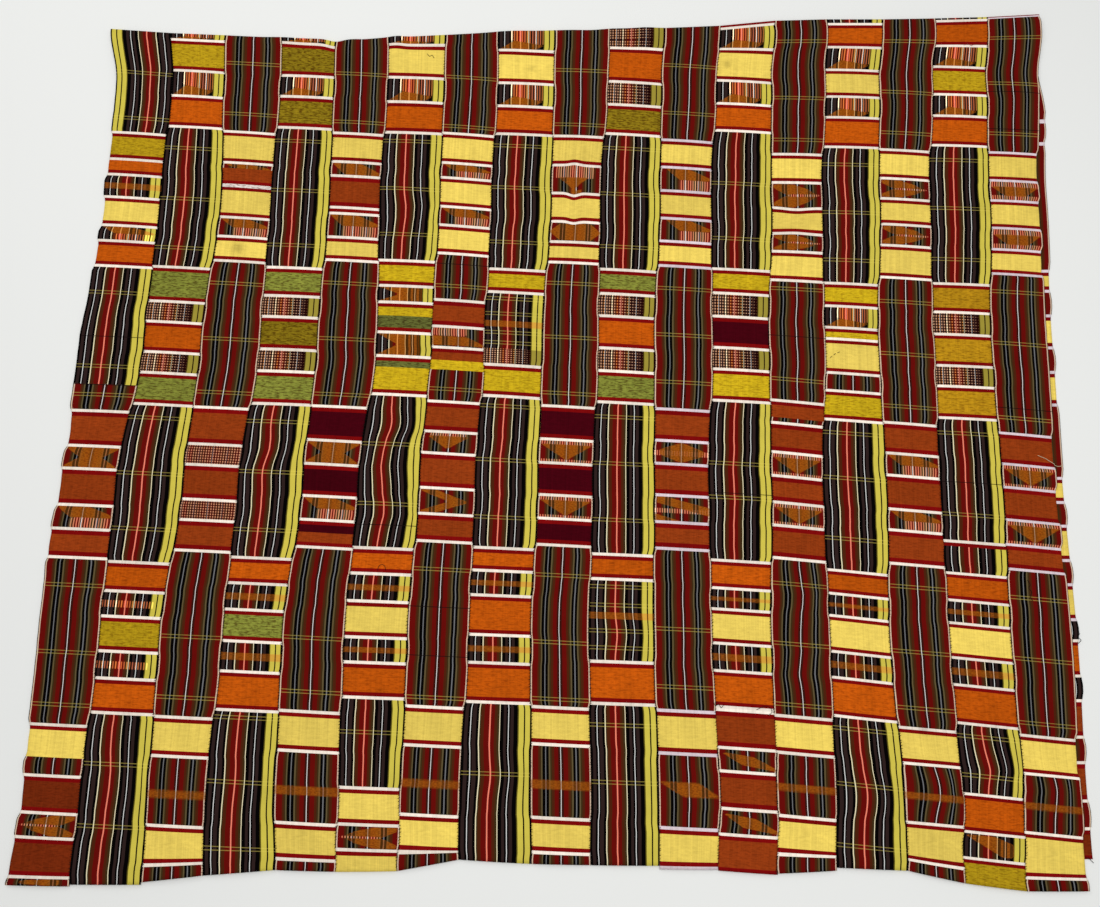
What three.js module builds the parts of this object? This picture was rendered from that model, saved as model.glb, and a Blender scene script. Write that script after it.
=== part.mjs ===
// A kente cloth folded once and laid flat: seventeen narrow woven strips, sewn edge to edge.
// Millimetres. +X runs across the strips, +Y from the open ends to the fold, +Z up from the surface it lies on.
import * as THREE from "three";

// Driving dimensions
const SHEET = 1.2; // thickness of the woven cloth
const LAYER_GAP = 0.9; // least air between the two layers
const SEAM_GAP = 0.3; // between the edges of neighbouring strips
const FOLD_LOOP = 4.5; // air inside the loop of the fold
const FOLD_REACH = 95; // length over which that loop closes
const SWELL = 1.6; // slow rise and fall of the upper layer
const PLAIN_CROWN = 1.3; // how far a strip stands up between its seams
const UNDER_SHIFT = 15; // the lower layer lies this far to the right of the upper one
const SHIFT_FROM = 730; // where that shift begins, below the fold
const SHIFT_FULL = 600; // where it is complete
const UNDER_END = { left: -768, right: -780 }; // open end of the lower layer, hidden but at the right

// Sampling of a strip's length and width
const UPPER_LEVELS = evenly(-740, 740, 27);
const LOWER_LEVELS = evenly(720, -720, 11);
const LOOP_STEPS = 6;
const ACROSS = 2;

// Heights at which the seams are read: the fold, the middles of six rows of blocks, and the open end.
const LEVELS = [800, 690, 450, 150, -120, -400, -680, -810];

// A row for each seam, from the cloth's left edge to its right edge. The first eight columns are its x at
// LEVELS, and the last two are the y of the fold's outer edge and of the open end there.
const FOLD_EDGE = LEVELS.length;
const OPEN_END = FOLD_EDGE + 1;
const SEAMS = [
  [-901, -882, -891, -916, -932, -947, -954, -967, 802, -815],
  [-783, -774, -781, -795, -827, -839, -850, -857, 793, -817],
  [-672, -670, -664, -685, -704, -728, -732, -733, 788, -817],
  [-560, -559, -565, -575, -600, -616, -629, -626, 782, -806],
  [-451, -451, -453, -464, -482, -506, -509, -502, 780, -797],
  [-346, -346, -353, -353, -378, -396, -396, -397, 783, -800],
  [-231, -232, -238, -248, -266, -280, -287, -289, 789, -799],
  [-127, -127, -136, -147, -161, -171, -182, -182, 795, -780],
  [-12, -14, -21, -37, -46, -57, -58, -56, 799, -787],
  [97, 92, 76, 68, 57, 47, 50, 48, 803, -789],
  [207, 200, 191, 176, 170, 165, 168, 166, 804, -790],
  [318, 307, 292, 285, 272, 269, 276, 269, 809, -791],
  [429, 418, 408, 394, 387, 378, 378, 373, 820, -798],
  [533, 524, 508, 499, 484, 482, 482, 476, 823, -793],
  [645, 633, 619, 602, 600, 592, 600, 599, 823, -798],
  [750, 737, 718, 706, 701, 698, 704, 697, 825, -819],
  [856, 845, 833, 816, 815, 811, 811, 804, 828, -832],
  [961, 946, 929, 919, 915, 918, 911, 911, 834, -832],
];

// Puckers and lifted creases of the upper layer: their middle, the turn of their long axis from +X,
// their half length and half width, and how high they stand.
const PUCKERS = [
  { x: -868, y: 735, turn: 62, long: 80, wide: 34, lift: 3.5 },
  { x: -300, y: 432, turn: -34, long: 70, wide: 28, lift: 4.0 },
  { x: -302, y: -40, turn: -30, long: 75, wide: 28, lift: 5.0 },
  { x: -325, y: -172, turn: -30, long: 70, wide: 28, lift: 4.0 },
  { x: -492, y: -46, turn: -30, long: 65, wide: 28, lift: 4.0 },
  { x: -765, y: -655, turn: 26, long: 70, wide: 30, lift: 3.5 },
  { x: -540, y: -650, turn: 24, long: 70, wide: 30, lift: 3.5 },
  { x: 27, y: 450, turn: 88, long: 95, wide: 24, lift: 2.5 },
  { x: 330, y: -140, turn: 4, long: 70, wide: 26, lift: 3.0 },
  { x: 150, y: -400, turn: -40, long: 65, wide: 26, lift: 3.5 },
  { x: 428, y: -325, turn: -48, long: 75, wide: 28, lift: 3.5 },
  { x: 428, y: -470, turn: 35, long: 65, wide: 26, lift: 3.0 },
  { x: 540, y: -672, turn: -38, long: 75, wide: 30, lift: 4.5 },
  { x: 652, y: -662, turn: -38, long: 75, wide: 30, lift: 5.0 },
  { x: 760, y: -625, turn: 30, long: 65, wide: 28, lift: 3.5 },
  { x: 852, y: -668, turn: -38, long: 75, wide: 30, lift: 4.5 },
  { x: 757, y: -118, turn: 6, long: 65, wide: 26, lift: 3.0 },
  { x: 905, y: 660, turn: 20, long: 60, wide: 28, lift: 3.0 },
];

// Warp colours: strips woven on a black striped warp and strips woven on a red striped warp
const BLACK_WARP = new THREE.MeshStandardMaterial({ color: 0x4a3c22, roughness: 0.9, metalness: 0 });
const RED_WARP = new THREE.MeshStandardMaterial({ color: 0x6e2a16, roughness: 0.9, metalness: 0 });

// Numbers spread evenly from one value to another, both included.
function evenly(from, to, count) {
  return Array.from({ length: count }, (_, i) => from + ((to - from) * i) / (count - 1));
}

// A soft step from 0 to 1 as t goes from 0 to 1.
function softStep(t) {
  const s = Math.min(1, Math.max(0, t));
  return s * s * (3 - 2 * s);
}

// Where a seam lies at height y: a soft step between the readings above and below it.
function seamX(seam, y) {
  const below = LEVELS.findIndex((level) => level <= y);
  if (below === 0) return seam[0];
  if (below < 0) return seam[LEVELS.length - 1];
  const t = (LEVELS[below - 1] - y) / (LEVELS[below - 1] - LEVELS[below]);
  return seam[below - 1] + (seam[below] - seam[below - 1]) * softStep(t);
}

// How far the lower layer lies to the right of the upper one at height y.
function underShift(y) {
  return UNDER_SHIFT * softStep((SHIFT_FROM - y) / (SHIFT_FROM - SHIFT_FULL));
}

// Height of one pucker at a point: a rounded hill, long along its own axis.
function puckerLift(pucker, x, y) {
  const turn = THREE.MathUtils.degToRad(pucker.turn);
  const along = ((x - pucker.x) * Math.cos(turn) + (y - pucker.y) * Math.sin(turn)) / pucker.long;
  const beside = ((y - pucker.y) * Math.cos(turn) - (x - pucker.x) * Math.sin(turn)) / pucker.wide;
  return pucker.lift * Math.exp(-along * along - beside * beside);
}

// Air under the upper layer: the least gap, a slow swell, the puckers and the loop of the fold.
function airUnder(x, y, foldEdge) {
  const swell = 0.5 * SWELL * (1 + Math.sin(x / 137 + y / 260) * Math.cos(y / 171 - x / 410));
  const puckers = PUCKERS.reduce((sum, pucker) => sum + puckerLift(pucker, x, y), 0);
  const closing = softStep((foldEdge - y) / FOLD_REACH);
  return LAYER_GAP + (swell + puckers) * closing + (FOLD_LOOP - LAYER_GAP) * (1 - closing);
}

// One strip: its outer and inner face at each station from the upper layer's open end, over the fold, to
// the lower layer's open end.
function stripStations(number) {
  const left = SEAMS[number - 1];
  const right = SEAMS[number];
  const stations = [];

  // A point across the strip at share u of its width, by linear blend of the two seams.
  const blend = (u, of) => of(left) * (1 - u) + of(right) * u;
  const edgeX = (u, y) =>
    blend(u, (seam) => seamX(seam, y)) + SEAM_GAP * (0.5 - u);
  const crown = (u) => PLAIN_CROWN * 4 * u * (1 - u);
  const foldEdge = (u) => blend(u, (seam) => seam[FOLD_EDGE]);
  const loopRadius = (FOLD_LOOP + SHEET) / 2;
  const loopY = (u) => foldEdge(u) - loopRadius - SHEET / 2;
  const underEnd = (number - 0.5) / (SEAMS.length - 1);
  const lowerEnd = THREE.MathUtils.lerp(UNDER_END.left, UNDER_END.right, underEnd);

  // Adds a station of the upper layer at the heights that yAt gives across the strip.
  function addUpper(yAt) {
    stations.push((u) => {
      const y = yAt(u);
      const x = edgeX(u, y);
      const rise = softStep((foldEdge(u) - y) / FOLD_REACH);
      const under = SHEET + airUnder(x, y, loopY(u)) + crown(u) * rise;
      return { outer: [x, y, under + SHEET], inner: [x, y, under] };
    });
  }

  // Adds a station of the lower layer, flat on the surface.
  function addLower(yAt) {
    stations.push((u) => {
      const y = yAt(u);
      const x = edgeX(u, y) + underShift(y);
      return { outer: [x, y, 0], inner: [x, y, SHEET] };
    });
  }

  // Adds a station of the loop, a half circle from the upper layer round to the lower one.
  function addLoop(angle) {
    stations.push((u) => {
      const x = edgeX(u, loopY(u));
      const middle = SHEET / 2 + loopRadius;
      const at = (radius) => [
        x,
        loopY(u) + radius * Math.cos(angle),
        middle + radius * Math.sin(angle),
      ];
      return { outer: at(loopRadius + SHEET / 2), inner: at(loopRadius - SHEET / 2) };
    });
  }

  addUpper((u) => blend(u, (seam) => seam[OPEN_END]));
  UPPER_LEVELS.forEach((level) => addUpper(() => level));
  evenly(Math.PI / 2, -Math.PI / 2, LOOP_STEPS + 1).forEach(addLoop);
  LOWER_LEVELS.forEach((level) => addLower(() => level));
  addLower(() => lowerEnd);
  return stations;
}

// Closes the stations into one solid: an outer skin, an inner skin, two selvedges and two cut ends.
function stripGeometry(stations) {
  const positions = [];
  const triangles = [];
  const columns = ACROSS + 1;
  stations.forEach((station) => {
    for (let i = 0; i < columns; i++) positions.push(...station(i / ACROSS).outer);
    for (let i = 0; i < columns; i++) positions.push(...station(i / ACROSS).inner);
  });
  const outer = (j, i) => 2 * columns * j + i;
  const inner = (j, i) => outer(j, i) + columns;

  // Two triangles of a four-sided face, its corners in turn as seen from outside.
  function face(a, b, c, d) {
    triangles.push(a, b, c, a, c, d);
  }

  const last = stations.length - 1;
  for (let j = 0; j < last; j++) {
    for (let i = 0; i < ACROSS; i++) {
      face(outer(j, i), outer(j, i + 1), outer(j + 1, i + 1), outer(j + 1, i));
      face(inner(j, i), inner(j + 1, i), inner(j + 1, i + 1), inner(j, i + 1));
    }
    face(outer(j, 0), outer(j + 1, 0), inner(j + 1, 0), inner(j, 0));
    face(outer(j, ACROSS), inner(j, ACROSS), inner(j + 1, ACROSS), outer(j + 1, ACROSS));
  }
  for (let i = 0; i < ACROSS; i++) {
    face(outer(0, i), inner(0, i), inner(0, i + 1), outer(0, i + 1));
    face(outer(last, i), outer(last, i + 1), inner(last, i + 1), inner(last, i));
  }

  const geometry = new THREE.BufferGeometry();
  geometry.setAttribute("position", new THREE.Float32BufferAttribute(positions, 3));
  geometry.setIndex(triangles);
  geometry.computeVertexNormals();
  return geometry;
}

// The odd strips have the red warp and the even ones the black, but for the pieced first strip.
function warpOf(number) {
  return number % 2 === 1 && number > 1 ? RED_WARP : BLACK_WARP;
}

const cloth = new THREE.Group();
for (let number = 1; number < SEAMS.length; number++) {
  const strip = new THREE.Mesh(stripGeometry(stripStations(number)), warpOf(number));
  strip.name = `strip_${String(number).padStart(2, "0")}`;
  cloth.add(strip);
}

// The origin is under the middle of the cloth's box.
const middle = new THREE.Box3().setFromObject(cloth).getCenter(new THREE.Vector3());
cloth.position.set(-middle.x, -middle.y, 0);

export default cloth;
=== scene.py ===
# %% [markdown]
# # A kente cloth, folded once and laid flat
#
# Seventeen narrow strips, hand-woven and sewn edge to edge, make one large cloth. It lies folded in
# half, with the fold at the top of the picture and the open ends at the bottom. Each strip here is one
# thin sheet: an upper layer, a round fold and a lower layer, as in the CAD solid that it stands for.
#
# The pattern is woven, not printed, so it is built as weaving. Rows of faces follow the weft, and each
# row knows its band: a bar, a solid panel, a motif, or a plain length where the striped warp shows.
#
# This cell loads the CAD frame and moves each part's placement into its mesh.

import bpy
import numpy as np
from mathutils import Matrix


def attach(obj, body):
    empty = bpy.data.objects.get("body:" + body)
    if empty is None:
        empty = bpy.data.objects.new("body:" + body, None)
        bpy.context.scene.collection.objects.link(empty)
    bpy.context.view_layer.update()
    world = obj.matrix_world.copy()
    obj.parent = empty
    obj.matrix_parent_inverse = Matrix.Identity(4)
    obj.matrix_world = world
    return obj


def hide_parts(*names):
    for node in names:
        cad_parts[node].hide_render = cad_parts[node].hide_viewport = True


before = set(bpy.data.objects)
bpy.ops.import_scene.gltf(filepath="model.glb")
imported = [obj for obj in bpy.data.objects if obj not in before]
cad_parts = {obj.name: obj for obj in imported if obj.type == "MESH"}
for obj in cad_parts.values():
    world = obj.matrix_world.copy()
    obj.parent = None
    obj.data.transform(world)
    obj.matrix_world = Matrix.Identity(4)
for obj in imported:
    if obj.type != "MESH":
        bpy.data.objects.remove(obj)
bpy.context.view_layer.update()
MM = 0.001

# %% [markdown]
# ## Where the strips lie
#
# The same drawing as the CAD part, in millimetres: eighteen edges from left to right, each read at eight
# heights, then the height of the fold and of the open end there. The drawing's middle is moved to the
# origin.

# %% The drawing
MIDDLE = np.array([-3.0, 1.0])
SHEET, LAYER_GAP, SEAM_GAP = 1.2, 0.9, 0.3
FOLD_LOOP, FOLD_REACH = 4.5, 95.0
SWELL, PLAIN_CROWN, GROOVE = 1.6, 1.3, 0.45
UNDER_SHIFT, SHIFT_FROM, SHIFT_FULL = 15.0, 730.0, 600.0
UNDER_END = (-768.0, -780.0)
RADIUS = (FOLD_LOOP + SHEET) / 2

LEVELS = np.array([800, 690, 450, 150, -120, -400, -680, -810], float)
EDGES = np.array([
    [-901, -882, -891, -916, -932, -947, -954, -967, 802, -815],
    [-783, -774, -781, -795, -827, -839, -850, -857, 793, -817],
    [-672, -670, -664, -685, -704, -728, -732, -733, 788, -817],
    [-560, -559, -565, -575, -600, -616, -629, -626, 782, -806],
    [-451, -451, -453, -464, -482, -506, -509, -502, 780, -797],
    [-346, -346, -353, -353, -378, -396, -396, -397, 783, -800],
    [-231, -232, -238, -248, -266, -280, -287, -289, 789, -799],
    [-127, -127, -136, -147, -161, -171, -182, -182, 795, -780],
    [-12, -14, -21, -37, -46, -57, -58, -56, 799, -787],
    [97, 92, 76, 68, 57, 47, 50, 48, 803, -789],
    [207, 200, 191, 176, 170, 165, 168, 166, 804, -790],
    [318, 307, 292, 285, 272, 269, 276, 269, 809, -791],
    [429, 418, 408, 394, 387, 378, 378, 373, 820, -798],
    [533, 524, 508, 499, 484, 482, 482, 476, 823, -793],
    [645, 633, 619, 602, 600, 592, 600, 599, 823, -798],
    [750, 737, 718, 706, 701, 698, 704, 697, 825, -819],
    [856, 845, 833, 816, 815, 811, 811, 804, 828, -832],
    [961, 946, 929, 919, 915, 918, 911, 911, 834, -832],
], float)
COUNT = len(EDGES) - 1
print(COUNT, "strips, mean width", round(float(np.diff(EDGES[:, 3]).mean()), 1), "mm")

# %% [markdown]
# ## The weaver's chart
#
# One line for each strip, from the fold down to the open end. Each part starts with the height of its
# top, in millimetres. `plain` is a length of bare striped warp, followed by the heights of its pairs of
# thin yellow wefts; an `x` before a height makes it a dark sewn join, and a `b` a broad brown bar.
# Elsewhere a name and a length make a band. A panel such as `cream40` brings its own bars, pale outside
# and red inside, and `-cream40` comes without them. `w` and `r` are single bars. `black` and `red`
# change the warp, `turned` mirrors it, and `white` brings white bars back to a strip whose bars are
# lavender.

# %% The chart
CHART = {
    1: "799 turned plain 705 608 | 579 mustard40 -orange20 r w bar41 cream42 boot26 orange35 | 300"
       " plain 250 x163 105 | 70 red plain x69 50 | 21 red rust50 hourglass37 rust51 boot38 rust36 |"
       " -258 red plain -305 -425 -517 | -550 red w r -cream47 | -608 red plain | -637 red darkrust49"
       " backfish37 darkrust51 backfish12",
    2: "790 wedge12 mustard49 wedge48 orange49 | 587 plain 545 440 340 | 303 green53 check35 orange44"
       " check35 green45 | 28 plain 5 -100 -203 | -262 orange36 toothbar39 mustard45 toothbar41 orange43"
       " | -535 plain -620 -725",
    3: "784 plain 725 617 | 581 cream50 heel9 -rust26 r -frayed7 r -cream46 r w boot34 cream34 | 310"
       " plain 268 158 54 | 27 rust55 dots34 rust50 dots33 rust41 | -246 plain -398 -505 | -537 cream50"
       " plainbar109 cream46 plain21",
    4: "783 wedge12 olive48 wedge36 olive46 | 585 plain 560 457 345 | 302 green38 check34 olive45"
       " check35 green44 | 29 plain -2 -97 -205 | -254 orange32 bar43 green42 bar49 orange53 | -530"
       " plain -540 -650 -762",
    5: "777 plain 703 600 | 578 cream42 heel23 rust47 r w boot41 cream29 | 311 plain 268 158 50 | 29"
       " maroon50 hourglass40 maroon45 boot39 w r -maroon14 -rust18 r w | -240 plain -400 -495 | -527"
       " cream50 plainbar112 cream42 plain15",
    6: "783 wedge14 cream48 wedge42 orange44 | 575 plain 560 460 367 | 316 gold33 arrow26 w r -gold16"
       " -moss22 r w arrow39 w r -moss11 -gold41 r w | 47 plain -45 -157 x-196 | -236 orange29 bar42"
       " cream46 bar37 orange43 | -508 plain -565 | -658 red cream45 backfish36 w r -cream25",
    7: "792 plain 695 590 | 577 cream45 boot25 cream43 boot32 cream40 | 324 plain x306 262 | 236 rust36"
       " keel35 w r -rust15 -gold18 | 97 plain 60 | 38 rust42 cup36 rust50 chevron43 rust35 | -229 plain"
       " -277 x-345 x-432 -505 | -519 cream49 plainbar108 cream43 plain19",
    8: "797 wedge39 cream50 wedge41 orange40 | 572 plain 550 463 351 | 298 gold29 | 247 plain 237 207"
       " b187 170 150 | 138 check27 gold41 | 43 plain 27 -75 -182 | -236 orange26 bar39 orange55 bar44"
       " orange53 | -516 plain -636",
    9: "802 plain 711 595 | 573 cream44 goblet51 cream41 bow35 cream25 | 307 plain 268 161 52 | 29"
       " maroon49 triangle40 maroon46 triangle39 maroon34 | -236 plain -288 -408 -508 | -520 cream45"
       " plainbar112 cream39 plain15",
    10: "804 check41 orange53 check41 olive43 | 571 plain 544 449 341 | 297 green31 check37 orange45"
        " check37 green42 | 31 plain 6 -82 -187 | -248 orange29 | -298 plain -309 -342 b-361 -388 -418 |"
        " -440 orange53 | -519 plain -553 -651",
    11: "805 plain 720 618 | 563 cream40 shoe42 cream40 shoe40 cream33 | 299 plain 257 165 73 | 23"
        " rust43 star37 rust42 sash43 rust32 | -243 plain -385 -487 | -526 cream52 plainleaf110 cream44",
    12: "815 r w wedge43 cream53 wedge43 orange41 | 578 plain 471 358 | 298 gold32 check40 maroon45"
        " check36 gold44 | 34 plain -82 x-138 -146 | -260 orange37 bar34 cream48 bar45 orange50 | -526"
        " red rust50 leaf35 rust48 leaf38 w r -rust45 r",
    13: "820 plain 774 652 563 | 535 cream42 fish45 cream37 fish30 cream41 | 271 plain 257 x163 78 | 38"
        " w r -rust23 plain8 rust40 triangle39 rust34 triangle37 rust44 | -262 plain -305 -412 -519 |"
        " -537 cream46 plainbar98 cream45 plain24",
    14: "825 plain12 orange36 wedge45 cream44 wedge40 orange49 | 545 plain 511 412 315 | 270 gold31"
        " wedge38 w r -gold11 w r -cream49 r w redplain30 gold41 | -3 plain -25 -110 -223 | -280"
        " orange31 bar38 cream54 bar44 orange57 | -544 plain -562 -657 -760",
    15: "823 plain 774 664 577 | 543 cream45 fish37 cream38 fish38 cream50 | 276 plain 231 128 26 | -4"
        " rust44 boot37 rust49 boot34 rust47 | -272 plain -310 -426 -525 | -558 cream49 plainbar100"
        " cream54 plain20",
    16: "826 plain5 orange40 wedge41 mustard45 wedge41 orange48 | 548 plain 520 420 316 | 269 amber43"
        " check40 amber48 check36 amber48 | 1 plain -25 x-118 -178 | -226 w r plain48 | -285 orange39"
        " bar40 cream53 bar47 orange58 | -556 plain -575 -642 | -672 orange56 blade44 w r -mustard40",
    17: "832 r w | 825 plain 782 682 x664 x585 575 | 537 cream48 trough40 cream46 trough42 cream38 |"
        " 283 plain 250 148 x22 3 | -25 rust48 triangle42 rust50 triangle44 rust33 | -283 plain -331"
        " -440 -552 | -572 white cream55 plainbar102 cream62 plain20",
}
UNDER_17 = ("832 plain | 608 w | 600 plain | 560 w | 553 plain | 297 cream22 plain40 cream43 plain39"
            " cream43 | 28 plain | -106 cream30 plain39 cream48 plain39 cream48 | -370 black turned"
            " white plain34 orange50 plain40 | -508 red white rust50 plain40 rust52 plain43 darkrust40")
UNDER_17_END = -785.0
LAVENDER_STRIPS = (11, 17)
BAR, RED_BAR, LINE = 5.1, 5.0, 1.4
RED_EDGES = {"rust": 8.0, "darkrust": 7.0, "maroon": 7.5}
RED_EDGE = 6.6
print(len(CHART), "strips charted")

# %% [markdown]
# ## Colours
#
# Each weft has a name, a colour, how much of the warp it covers and how flecked it is. The two warps are
# lists of stripes, each with the share of the strip's width at which it ends. Colours are given as they
# look and turned into linear light.

# %% Colours
def linear(red, green, blue):
    """A colour given as 0 to 255 on a screen, turned into linear light: the screen's curve undone."""
    c = np.array([red, green, blue]) / 255
    return np.where(c < 0.04045, c / 12.92, ((c + 0.055) / 1.055) ** 2.4)


WEFTS = {
    "white": (linear(255, 241, 224), 1.0, 0.05), "lavender": (linear(232, 214, 219), 1.0, 0.08),
    "frayed": (linear(244, 232, 222), 1.0, 1.0), "crimson": (linear(130, 10, 11), 1.0, 0.1),
    "cream": (linear(246, 215, 99), 1.0, 0.1), "mustard": (linear(192, 157, 26), 1.0, 0.7),
    "gold": (linear(210, 176, 28), 1.0, 0.62), "amber": (linear(190, 141, 24), 1.0, 0.7),
    "olive": (linear(142, 118, 23), 1.0, 1.5), "green": (linear(139, 143, 57), 1.0, 1.35),
    "moss": (linear(107, 111, 52), 1.0, 1.4), "orange": (linear(201, 89, 12), 1.0, 0.5),
    "rust": (linear(151, 60, 18), 1.0, 0.4), "darkrust": (linear(128, 46, 15), 1.0, 0.45),
    "maroon": (linear(68, 3, 14), 1.0, 0.2), "thread": (linear(250, 226, 108), 0.23, 0.0),
    "join": (linear(22, 14, 14), 0.85, 0.0), "check": (linear(48, 8, 8), 0.5, 0.0),
    "dots": (linear(66, 10, 10), 0.8, 0.0),
}
BLACK, AUBERGINE, ICE, STEEL = (5, 3, 3), (48, 33, 31), (222, 222, 218), (116, 116, 118)
CREAM, KHAKI, SELVEDGE = (240, 228, 188), (100, 86, 56), (226, 196, 168)
UMBER, EARTH, WINE, PLUM = (64, 45, 20), (80, 34, 14), (106, 13, 9), (58, 20, 14)
SALMON, YELLOW, OLIVE = (250, 138, 112), (214, 197, 78), (98, 88, 28)
WARPS = {
    "black": [(0.03, BLACK), (0.078, AUBERGINE), (0.108, BLACK), (0.121, ICE), (0.14, BLACK),
              (0.192, AUBERGINE), (0.23, BLACK), (0.244, CREAM), (0.264, UMBER), (0.305, EARTH),
              (0.381, WINE), (0.399, SALMON), (0.456, WINE), (0.492, EARTH), (0.525, UMBER),
              (0.539, CREAM), (0.588, BLACK), (0.628, AUBERGINE), (0.653, BLACK), (0.666, ICE),
              (0.688, BLACK), (0.738, AUBERGINE), (0.795, BLACK), (0.812, OLIVE), (0.884, YELLOW),
              (0.906, BLACK), (0.974, YELLOW), (1.0, BLACK)],
    "red": [(0.008, BLACK), (0.03, SELVEDGE), (0.122, WINE), (0.15, EARTH), (0.172, UMBER),
            (0.193, KHAKI), (0.24, BLACK), (0.257, STEEL), (0.3, BLACK), (0.324, KHAKI), (0.35, UMBER),
            (0.39, EARTH), (0.456, WINE), (0.49, PLUM), (0.503, ICE), (0.54, PLUM), (0.616, WINE),
            (0.65, EARTH), (0.676, UMBER), (0.7, KHAKI), (0.742, BLACK), (0.759, STEEL), (0.8, BLACK),
            (0.824, KHAKI), (0.85, UMBER), (0.89, EARTH), (0.97, WINE), (0.992, SELVEDGE), (1.0, BLACK)],
}
TEETH = {"black": (208, 104, 60), "red": (232, 152, 112), "check": (236, 182, 140), "dots": (236, 172, 126)}
ACCENTS = {"black": (244, 156, 72), "red": (222, 144, 104)}
LINES = {"black": (236, 160, 62), "red": (172, 116, 52)}
print(len(WEFTS), "wefts,", [len(w) for w in WARPS.values()], "warp stripes")

# %% [markdown]
# ## The motifs
#
# A motif is woven with an extra weft that floats over the warp. Two fields draw it, each above zero
# where the float lies: a solid part, and a comb of teeth with the warp showing between them. Both are
# made of straight slopes over `u`, across the band, and `t`, up it, so that they stay sharp on coarse
# faces.

# %% Motifs
def least(*fields):
    """The lowest of several fields at each point: where all of them are above zero, the point is inside."""
    return np.minimum.reduce(np.broadcast_arrays(*fields))


def motif_fields(name, u, t):
    """Solid and comb fields of one motif, from straight slopes in u and t; below zero is bare warp."""
    up, side, none = np.abs(t - 0.5), np.abs(u - 0.5), np.full(np.broadcast(u, t).shape, -1.0)
    if name == "wedge":
        brow = 0.42 - 0.385 * (u - 0.28)
        solid = least((u - 0.04) * 1.75 - t, brow - t, t - (u - 0.66) * 1.57)
        return solid, least(u - 0.22, 0.79 - u, t - brow)
    if name in ("boot", "heel", "shoe"):
        t = 0.5 + t / 2 if name == "heel" else t
        toe = 0.13 if name == "shoe" else 0.04
        instep = t - 0.97 + 1.9 * (u - toe)
        solid = least(instep, 1 - 0.95 * (u - 0.58) - t, t - 0.48, u - 0.02, 0.97 - u)
        return solid, least(u - toe - 0.26, 0.48 - t, 0.95 - u)
    if name == "keel":
        return least(0.55 - t, 0.15 + 1.14 * (1 - u) - t, t - 0.06), least(t - 0.57, 0.66 - u, u - 0.05)
    if name == "goblet":
        bowl = least(0.03 + 0.75 * (t - 0.2) - np.abs(u - 0.44), 0.58 - t)
        stem = np.maximum(least(0.045 - np.abs(u - 0.44), 0.4 - t), least(u - 0.42, 0.6 - u, 0.13 - t))
        return np.maximum(bowl, stem), least(t - 0.55, 0.38 - np.abs(u - 0.47))
    if name == "cup":
        off = np.abs(u - 0.47)
        return least(0.02 + 0.55 * (t - 0.2) - off, 0.86 - t), least(t - 0.82, 0.34 - off)
    if name == "bow":
        return least(0.47 - up, 1.12 - 2.17 * side - up), none
    if name in ("fish", "backfish"):
        ahead = u if name == "fish" else 1 - u
        body = least(0.48 - up, 0.75 - 0.68 * ahead - up, 1.35 * (0.9 - ahead) - up, up - 1.2 * (0.3 - ahead))
        row = least(0.05 - up, ahead - 0.3, 0.93 - ahead)
        return least(body, ahead - 0.04, -row), row
    if name == "triangle":
        rows = np.maximum(t - 0.82, 0.12 - t)
        return least(0.02 + 0.62 * (t - 0.12) - side, 0.84 - t), least(rows, 0.47 - side)
    if name == "trough":
        rows = np.maximum(t - 0.7, 0.24 - t)
        return least(0.2 + 0.5 * (t - 0.22) - side, 0.74 - t, t - 0.2), least(rows, 0.47 - side)
    if name == "hourglass":
        return least(0.19 + 0.62 * up - side, 0.47 - side), none
    if name == "star":
        return least(0.5 - 0.95 * side - up, 0.4 - side), least(0.12 - np.abs(t - 0.46), none + 3)
    if name == "sash":
        stroke = np.maximum(least(0.17 - np.abs(t - 0.93 + 0.5 * u), u - 0.05), 0.28 - 0.58 * u - t)
        return stroke, least(0.09 - np.abs(t - 0.42), none + 3)
    if name == "leaf":
        brim = least(0.88 - 0.3 * u, 0.72 - 1.3 * (u - 0.58)) - t
        return least(brim, t - 0.85 + 1.65 * (u - 0.05), t - 0.3 + 0.35 * (u - 0.33)), none
    if name == "blade":
        brim = least(0.95, 0.95 - 0.9 * (u - 0.5)) - t
        return least(brim, t - 0.88 + 1.35 * (u - 0.06), t - 0.12, 0.8 - u), none
    if name == "plainleaf":
        brim = least(0.62, 0.62 - 0.55 * (u - 0.65)) - t
        return least(brim, t - 0.42, t - 0.61 + 0.5 * (u - 0.03)), none
    if name == "chevron":
        return least(0.15 - np.abs(up - 0.85 * (0.72 - u)), u - 0.04), none
    if name == "arrow":
        return least(up - 1.3 * (0.4 - u), 0.78 - u), none
    if name == "check":
        return none, least(0.8 - u, none + 3)
    if name == "dots":
        return none, none + 3
    if name == "toothbar":
        return none, least(0.15 - up, 0.85 - u)
    if name in ("bar", "plainbar", "band"):
        half, middle = {"bar": (0.14, 0.5), "plainbar": (0.06, 0.45), "band": (3.0, 0.5)}[name]
        return least(half - np.abs(t - middle), none + 1.01), none
    return none, none


MOTIFS = ("wedge boot heel shoe keel goblet cup bow fish backfish triangle trough hourglass star sash"
          " leaf blade plainleaf chevron arrow check dots toothbar bar plainbar band").split()
CHECK_ROWS = 7
print(len(MOTIFS), "motifs")

# %% [markdown]
# ## From chart to rows of faces
#
# The chart's words become bands with a bottom, a top and a warp. Each band is then cut into rows: one
# for a bar, a few for a panel, finer ones for a motif.

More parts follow.
